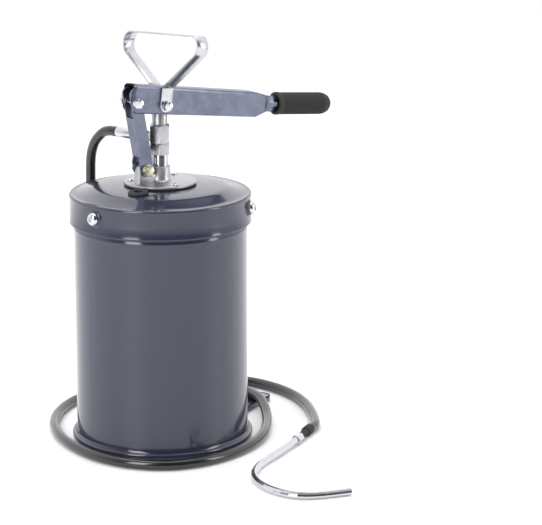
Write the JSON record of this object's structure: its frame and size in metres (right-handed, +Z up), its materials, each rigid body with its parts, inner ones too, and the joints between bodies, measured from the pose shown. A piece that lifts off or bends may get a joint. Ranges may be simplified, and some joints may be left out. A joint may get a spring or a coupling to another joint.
{
  "type": "hand_lever_oil_bucket_pump",
  "caption": "Hand-lever bucket pump for gear oil: slate sheet steel bucket and lid, zinc-plated lever with rubber grip, bent strip carry handle, and a coiled black hose with a steel spout.",
  "frame": {"origin": "centre of the bucket's flat bottom", "axes": "+X towards the lever's grip, +Z up, -Y faces the viewer"},
  "size_m": [0.4279, 0.5797, 0.5696],
  "materials": {
    "slate_paint": "glossy slate blue-grey enamel",
    "zinc_steel": "zinc-plated steel",
    "yellow_zinc": "pale yellow passivated zinc",
    "bright_steel": "bright polished or nickel-plated steel",
    "cast_alloy": "machined cast alloy",
    "black_rubber": "black rubber",
    "bronze": "machined bronze"
  },
  "bodies": {
    "body": {"bucket_shell": "slate_paint", "foot_plate": "slate_paint", "lid": "slate_paint", "lid_gasket": "black_rubber", "lid_screw_1": "bright_steel", "lid_screw_2": "bright_steel", "lid_screw_3": "bright_steel", "lid_nut_1": "zinc_steel", "lid_nut_2": "zinc_steel", "lid_nut_3": "zinc_steel", "spout_grommet": "black_rubber", "pump_flange": "cast_alloy", "flange_gasket": "black_rubber", "flange_screw_1": "bright_steel", "flange_screw_2": "bright_steel", "flange_screw_3": "bright_steel", "flange_nut_1": "zinc_steel", "flange_nut_2": "zinc_steel", "flange_nut_3": "zinc_steel", "pump_cylinder": "zinc_steel", "rod_bush": "bronze", "rod_seal": "black_rubber", "foot_valve_body": "bronze", "foot_valve_pin": "bright_steel", "foot_valve_ball": "bright_steel", "suction_strainer": "zinc_steel", "lug_bolt": "yellow_zinc", "lug_nut": "yellow_zinc", "hose": "black_rubber", "spout_ferrule": "black_rubber", "spout_tube": "bright_steel", "spout_nut": "bright_steel"},
    "plunger": {"piston_rod": "bright_steel", "piston": "bronze", "piston_cup": "black_rubber", "piston_valve_ball": "bright_steel", "rod_lock_nut": "zinc_steel", "discharge_head": "cast_alloy", "outlet_nipple": "zinc_steel", "outlet_ferrule": "bright_steel"},
    "lever": {"lever_arm": "zinc_steel", "lever_grip": "black_rubber", "link_bolt": "bright_steel", "link_nut": "bright_steel", "rod_pin_bolt": "bright_steel", "rod_pin_nut": "bright_steel"},
    "link": {"link_bracket": "zinc_steel"},
    "handle": {"carry_handle": "zinc_steel"}
  },
  "joints": [
    {"name": "pump_stroke", "type": "slide", "parent": "body", "child": "plunger", "axis": [0, 0, 1], "range_m": [0, 0.032]},
    {"name": "lever_swing", "type": "hinge", "parent": "plunger", "child": "lever", "pos_m": [0, 0, 0.4675], "axis": [0, -1, 0], "range_deg": [0, 41.5]},
    {"name": "link_swing", "type": "hinge", "parent": "lever", "child": "link", "pos_m": [-0.0443, 0, 0.4754], "axis": [0, -1, 0], "range_deg": [-44, 0]},
    {"name": "handle_swing", "type": "hinge", "parent": "lever", "child": "handle", "pos_m": [0, 0, 0.4675], "axis": [0, -1, 0], "range_deg": [-65, 65]}
  ],
  "couplings": [
    {"joint": "lever_swing", "follows": "pump_stroke", "rad_per_m": 22.25},
    {"joint": "link_swing", "follows": "pump_stroke", "rad_per_m": -23.6}
  ]
}
